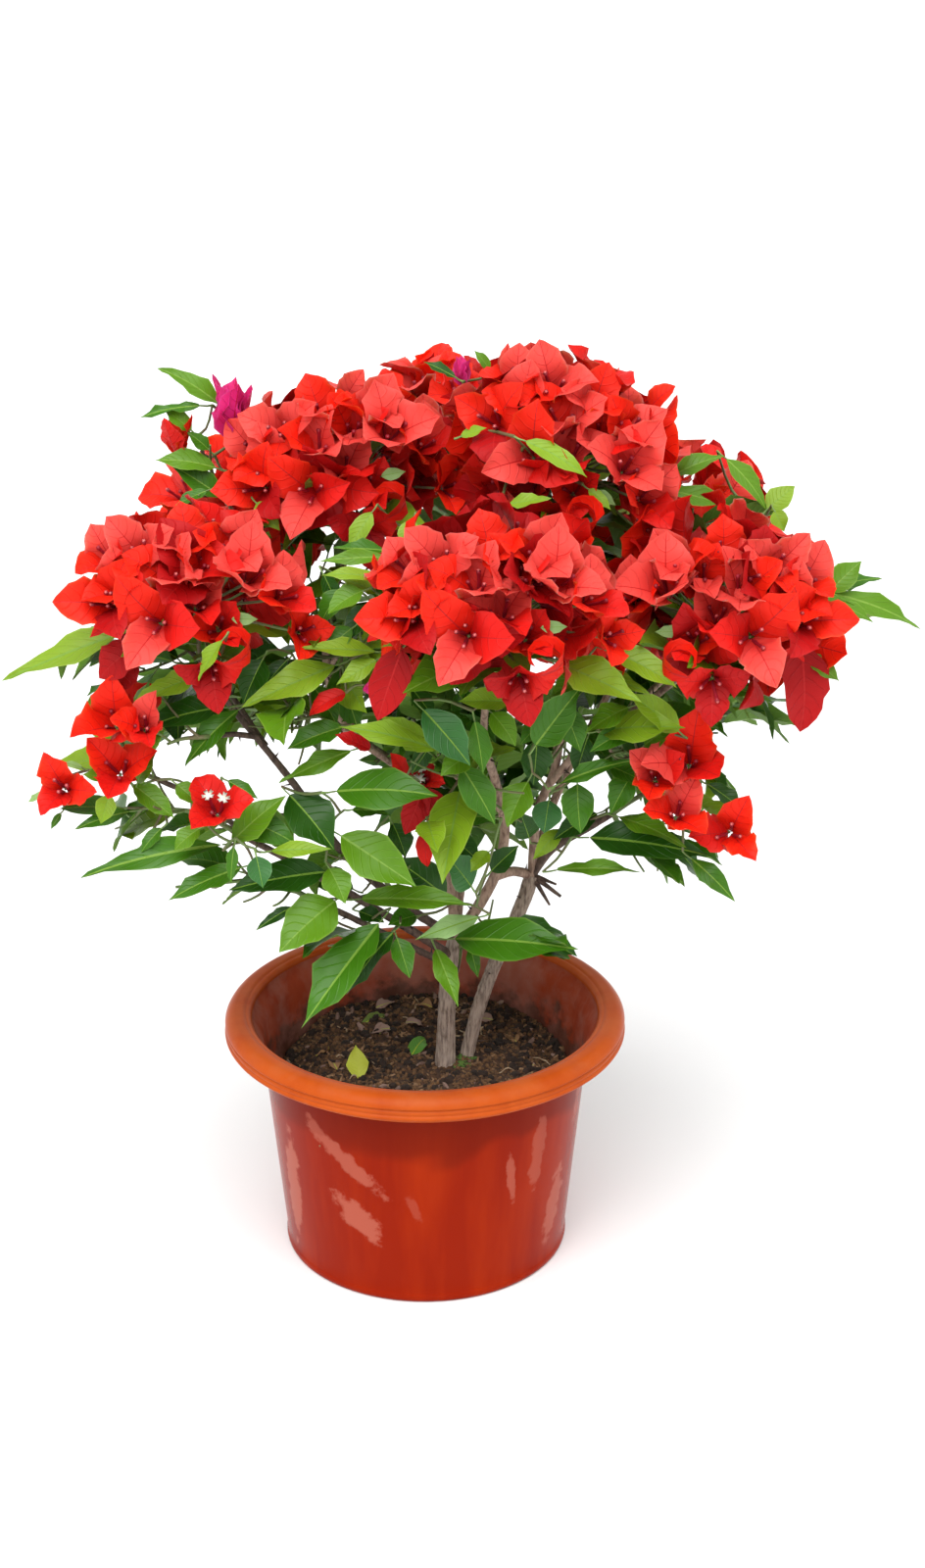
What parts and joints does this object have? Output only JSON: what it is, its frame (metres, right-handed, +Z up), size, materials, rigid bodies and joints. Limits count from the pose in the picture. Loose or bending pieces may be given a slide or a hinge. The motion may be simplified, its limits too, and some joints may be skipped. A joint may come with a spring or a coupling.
{
  "type": "potted_bougainvillea",
  "caption": "Flowering bougainvillea bush in a round plastic pot: slender woody stems fan out into a domed crown of red papery blooms over loose green leaves, rooted in brown soil",
  "frame": {"origin": "centre of the pot's flat underside, on the floor", "axes": "+Z up along the pot's axis; -Y towards the viewer; +X to the viewer's right"},
  "size_m": [0.5223, 0.3513, 0.5763],
  "materials": {
    "pot_plastic": "glossy orange red plastic, rubbed and dusty",
    "soil": "moist crumbly potting soil with bark bits",
    "bark": "grey beige ridged bark",
    "bough_bark": "thin dark brown bark",
    "flowers": "papery red bracts",
    "leaves": "soft satin green leaves"
  },
  "bodies": {
    "root": {"back_bough": "bough_bark", "back_flowers": "flowers", "back_left_bough": "bough_bark", "back_left_flowers": "flowers", "back_left_leaves": "leaves", "back_low_leaves": "leaves", "back_right_bough": "bough_bark", "back_right_flowers": "flowers", "back_right_leaves": "leaves", "centre_bough": "bough_bark", "centre_leaves": "leaves", "cross_bough": "bough_bark", "far_left_bough": "bough_bark", "far_left_sprig": "leaves", "far_right_bough": "bough_bark", "far_right_sprig": "leaves", "foot_left_bough": "bough_bark", "foot_left_leaves": "leaves", "foot_right_leaves": "leaves", "inner_leaves": "leaves", "inner_left_leaves": "leaves", "inner_right_bough": "bough_bark", "inner_right_leaves": "leaves", "left_bough": "bough_bark", "left_centre_bough": "bough_bark", "left_centre_leaves": "leaves", "left_flowers": "flowers", "left_spray": "leaves", "low_left_bough": "bough_bark", "low_left_flowers": "flowers", "low_left_leaves": "leaves", "low_right_bough": "bough_bark", "low_right_flowers": "flowers", "low_right_leaves": "leaves", "mid_left_bough": "bough_bark", "mid_left_leaves": "leaves", "middle_bough": "bough_bark", "middle_flowers": "flowers", "pot": "pot_plastic", "right_bough": "bough_bark", "right_centre_bough": "bough_bark", "right_centre_leaves": "leaves", "right_flowers": "flowers", "second_stem": "bark", "side_left_bough": "bough_bark", "soil": "soil", "top_left_bough": "bough_bark", "top_left_flowers": "flowers", "top_left_sprig": "leaves", "top_right_bough": "bough_bark", "top_right_flowers": "flowers", "trunk": "bark", "under_left_bough": "bough_bark", "under_left_leaves": "leaves", "upper_centre_bough": "bough_bark", "upper_centre_leaves": "leaves", "upper_left_bough": "bough_bark", "upper_right_bough": "bough_bark", "upper_right_sprig": "leaves"}
  },
  "joints": []
}
